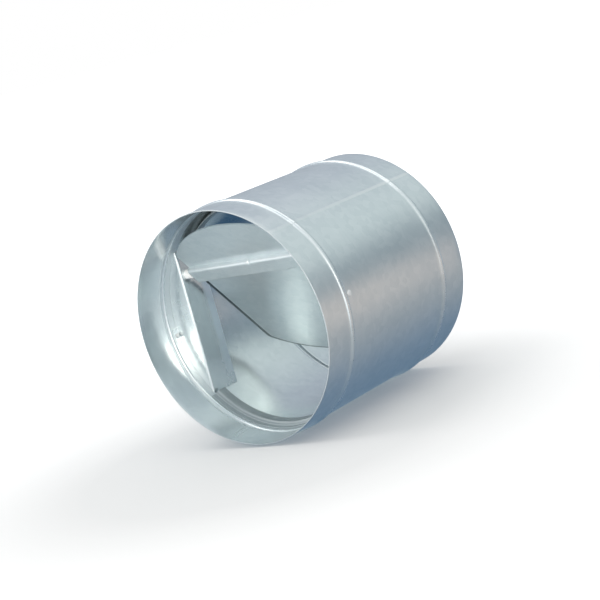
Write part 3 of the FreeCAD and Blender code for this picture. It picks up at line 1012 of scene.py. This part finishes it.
# The edging's dark material is a painted shadow.
edge_shadow_finish = edge_shadow_material()
finishes = {
    "casing_shell": casing_finish,
    "right_bracket_sheet": bracket_finish, "left_bracket_sheet": bracket_finish,
    "bottom_stop_strip": stop_finish, "top_stop_strip": stop_finish,
    "blade_plate": blade_finish, "axle_channel_cover": channel_finish, "blade_edge_shadow_strip": edge_shadow_finish,
    "axle_rod": rod_finish, "bracket_rivet_pair": rivet_finish,
    "right_bush_ring": nylon_finish, "left_bush_ring": nylon_finish,
}
for name, finish in finishes.items():
    bpy.data.objects[name].data.materials.append(finish)
print("finishes:", sorted({finish.name for finish in finishes.values()}))

# %% [markdown]
# The floor. It is matt white and runs out of sight. Close to the damper it takes a soft shadow,
# and further off it glows, but only to the camera and in the metal, so that it turns to plain
# white without lighting the damper from below.

# %% Floor
FLOOR_HALF, FLOOR_DROP = 40.0, 0.0002
SHADOW_REACH, WHITE_FROM = 0.12, 0.6
GLOW_NEAR, GLOW_FAR = 0.06, 0.9
ONE_QUAD = np.array([[0, 1, 2, 3]])
floor_z = cad_low[2] - FLOOR_DROP


def stage_mesh(name, points, quads, material):
    """A plain mesh that is part of the studio and not of the damper."""
    mesh = bpy.data.meshes.new(name)
    mesh.from_pydata(np.asarray(points).tolist(), [], quads.tolist())
    made = bpy.data.objects.new(name, mesh)
    scene.collection.objects.link(made)
    mesh.materials.append(material)
    return made


def seen_directly(g):
    """1 for rays from the camera, mirrored rays and rays through glass, so metal shows the same floor."""
    path = g.node("LightPath")
    seen = g.math("MAXIMUM", path.outputs["Is Camera Ray"], path.outputs["Is Glossy Ray"])
    return g.math("MAXIMUM", seen, path.outputs["Is Transmission Ray"])


def floor_material():
    """Matt white that takes a shadow near the damper and turns to plain white further off."""
    material, g, shader = new_material("white_floor")
    shader.inputs["Base Color"].default_value = (0.88, 0.88, 0.88, 1)
    shader.inputs["Roughness"].default_value = 1.0
    shader.inputs["Specular IOR Level"].default_value = 0.0
    shader.inputs["Emission Color"].default_value = (1, 1, 1, 1)
    glow = g.remap(g.distance((1, 1, 0)), SHADOW_REACH, WHITE_FROM, GLOW_NEAR, GLOW_FAR)
    g.put(g.times(seen_directly(g), glow), shader.inputs["Emission Strength"])
    return material


floor_points = np.array([(-1, -1, 0), (1, -1, 0), (1, 1, 0), (-1, 1, 0)]) * FLOOR_HALF + [0, 0, floor_z]
stage_mesh("floor", floor_points, ONE_QUAD, floor_material())
print("floor at", round(floor_z, 5))

# %% [markdown]
# Cards for the metal. Metal has no colour of its own to show until it has something to mirror,
# so plain cards stand round the damper, outside the picture, and are seen only in the metal.
# They glow, so that each is mirrored in the colour it is written in. A curved screen far
# behind, blue-grey above and warm below, gives the tube its dark and its beige stripe. A cloth
# on the floor behind and beside the tube darkens its underside. More lamps could not do this:
# they only add light, and the photograph's metal has dark parts too.

# %% Screen and cloth
CARD_STEPS = 96
SCREEN_RADIUS, SCREEN_FIRST, SCREEN_LAST, SCREEN_TOP = 0.55, -90, 112, 0.75
MIDDLE_Y = 0.08
CLOTH_FRONT_Y, CLOTH_LIFT = -0.12, 0.0001


def glowing_material(name, colour):
    """A material that only glows. colour is a plain colour, or a function that works one out."""
    material, g, shader = new_material(name)
    shader.inputs["Base Color"].default_value = (0, 0, 0, 1)
    shader.inputs["Specular IOR Level"].default_value = 0.0
    shader.inputs["Emission Strength"].default_value = 1.0
    g.put(colour(g) if callable(colour) else colour, shader.inputs["Emission Color"])
    return material


def metal_card(name, colour, points, quads=ONE_QUAD):
    """A glowing card that only mirrored rays meet: it is out of the picture and out of the lamps' way."""
    card = stage_mesh(name, points, quads, glowing_material(name, colour))
    card.visible_camera = False
    card.visible_shadow = False
    card.visible_diffuse = False
    print("card:", name)


def between_lines(low_line, low_z, high_line, high_z):
    """A strip between two lines of (x, y) points, each at its own height."""
    points = [np.column_stack([line, np.full(CARD_STEPS, z)])
              for line, z in ((low_line, low_z), (high_line, high_z))]
    return np.concatenate(points), grid_quads(2, CARD_STEPS)


def screen_colour(g):
    """From the floor up: a foot that is warm on the right, a blue-grey band and a pale top. Towards the left
    the three come closer together."""
    x, _, z = g.axes()
    leftwards = g.remap(x, 0.25, -0.20)
    foot = g.mix(g.remap(x, 0.05, 0.22), (0.24, 0.288, 0.336, 1), (0.64, 0.568, 0.536, 1))
    grey = g.mix(leftwards, (0.21, 0.27, 0.31, 1), (0.31, 0.34, 0.40, 1))
    pale = g.mix(leftwards, (0.67, 0.745, 0.745, 1), (0.46, 0.505, 0.57, 1))
    grey = g.mix(g.remap(z, -0.03, 0.06), foot, grey)
    return g.mix(g.remap(z, 0.12, 0.30), grey, pale)


def cloth_colour(g):
    """From left to right: blue-grey, blue, grey and a warm beige. A deep blue patch lies behind the outlet's
    left half, and the front edge is pale."""
    x, y, _ = g.axes()
    near = g.mix(g.remap(x, 0.01, 0.03), (0.34, 0.42, 0.48, 1), (0.12, 0.20, 0.30, 1))
    near = g.mix(g.remap(x, 0.06, 0.13), near, (0.31, 0.34, 0.37, 1))
    near = g.mix(g.remap(x, 0.15, 0.28), near, (0.624, 0.56, 0.528, 1))
    deep = g.times(g.band(y, 0.17, 0.21, 0.31, 0.36), g.remap(x, -0.03, -0.05))
    near = g.mix(deep, near, (0, 0.048, 0.12, 1))
    return g.mix(g.remap(y, -0.02, -0.04), near, (0.62, 0.68, 0.72, 1))


bearing = np.radians(np.linspace(SCREEN_FIRST, SCREEN_LAST, CARD_STEPS))
screen_ring = np.column_stack([np.sin(bearing), np.cos(bearing)]) * SCREEN_RADIUS + [0, MIDDLE_Y]
cloth_front = np.column_stack([screen_ring[:, 0], np.full(CARD_STEPS, CLOTH_FRONT_Y)])
cloth_z = floor_z + CLOTH_LIFT
metal_card("curved_screen", screen_colour, *between_lines(screen_ring, floor_z, screen_ring, SCREEN_TOP))
metal_card("blue_cloth", cloth_colour, *between_lines(cloth_front, cloth_z, screen_ring, cloth_z))

# %% [markdown]
# The other cards. A low board stands behind the outlet, a grey flag hangs high in front of the
# inlet, a white card stands to the left, a white mat lies on the floor towards the camera and a
# grey post stands far in front. Each was placed by following mirrored rays from the camera
# through the damper, until the bright and dark patches of the inside fell as in the photograph.

# %% Board, flag, side card, mat and post
MAT_LIFT = 0.0003
MAT_NEAR, MAT_FAR, MAT_LEFT, MAT_RIGHT = 0.28, 1.40, np.radians(33), np.radians(55)


def board_colour(g):
    """Pale blue-grey, and darker at the right."""
    x, _, _ = g.axes()
    return g.mix(g.remap(x, 0.12, 0.18), (0.46, 0.54, 0.61, 1), (0.20, 0.26, 0.32, 1))


def upright(start, end, top):
    """Corners of a card that stands on the floor from one (x, y) point to another."""
    return [(*start, floor_z), (*end, floor_z), (*end, top), (*start, top)]


def on_floor(distance, turn):
    """A point just above the floor, at a distance from the origin and a turn from -Y towards +X."""
    return distance * np.sin(turn), -distance * np.cos(turn), floor_z + MAT_LIFT


metal_card("blue_board", board_colour, upright((-0.20, 0.40), (0.25, 0.40), 0.03))
metal_card("grey_flag", (0.50, 0.57, 0.61, 1),
           [(-0.12, -0.75, 0.60), (0.50, -0.75, 0.60), (0.50, -0.20, 1.0), (-0.12, -0.20, 1.0)])
metal_card("white_side_card", (1.7, 1.8, 1.85, 1), upright((-0.74, -0.67), (-0.95, -0.31), 0.14))
metal_card("front_mat", (0.95, 1.0, 1.02, 1),
           [on_floor(MAT_NEAR, MAT_LEFT), on_floor(MAT_FAR, MAT_LEFT),
            on_floor(MAT_FAR, MAT_RIGHT), on_floor(MAT_NEAR, MAT_RIGHT)])
metal_card("grey_post", (0.45, 0.52, 0.55, 1), upright((-0.22, -1.0), (0.12, -1.0), 0.25))

# %% [markdown]
# Light. Three soft lamps: one high on the camera's left, one overhead, and a warm one behind the
# camera that lights the inside. A lamp's face is mirrored too, so its brightness is given as
# what the metal shows, and its watts follow from its area. The white surround fills the rest.

# %% Lamps and surround


def soft_lamp(name, place, aim, size, glow, colour):
    """A rectangular soft lamp. Its watts are glow times pi times its area, so glow is how bright its face
    looks."""
    data = bpy.data.lights.new(name, "AREA")
    data.shape = "RECTANGLE"
    data.size, data.size_y = size
    data.energy = glow * np.pi * size[0] * size[1]
    data.color = colour
    lamp = bpy.data.objects.new(name, data)
    scene.collection.objects.link(lamp)
    lamp.matrix_world = facing(place, aim)
    lamp.visible_camera = False
    print(name, "-", round(data.energy, 2), "W")


soft_lamp("key_lamp", (-0.52, -0.19, 1.18), (0, 0.05, 0), (0.6, 0.6), 2.0, (1.0, 0.99, 0.97))
soft_lamp("top_lamp", (0.30, 0.0, 1.3), (0, 0.08, 0), (0.5, 0.8), 0.8, (0.96, 0.99, 1.0))
soft_lamp("front_lamp", (0.955, -1.108, 0.30), (0, 0.03, 0), (0.55, 0.50), 5.4, (1.0, 0.92, 0.80))

world = bpy.data.worlds.new("white_surround")
world.use_nodes = True
scene.world = world
w = Graph(world.node_tree)
sky = world.node_tree.nodes["Background"]
w.put(w.mix(seen_directly(w), (0.97, 0.99, 1, 1), (1, 1, 1, 1)), sky.inputs["Color"])
w.put(w.remap(seen_directly(w), 0, 1, 0.75, 1.0), sky.inputs["Strength"])
scene.view_settings.view_transform = "Standard"
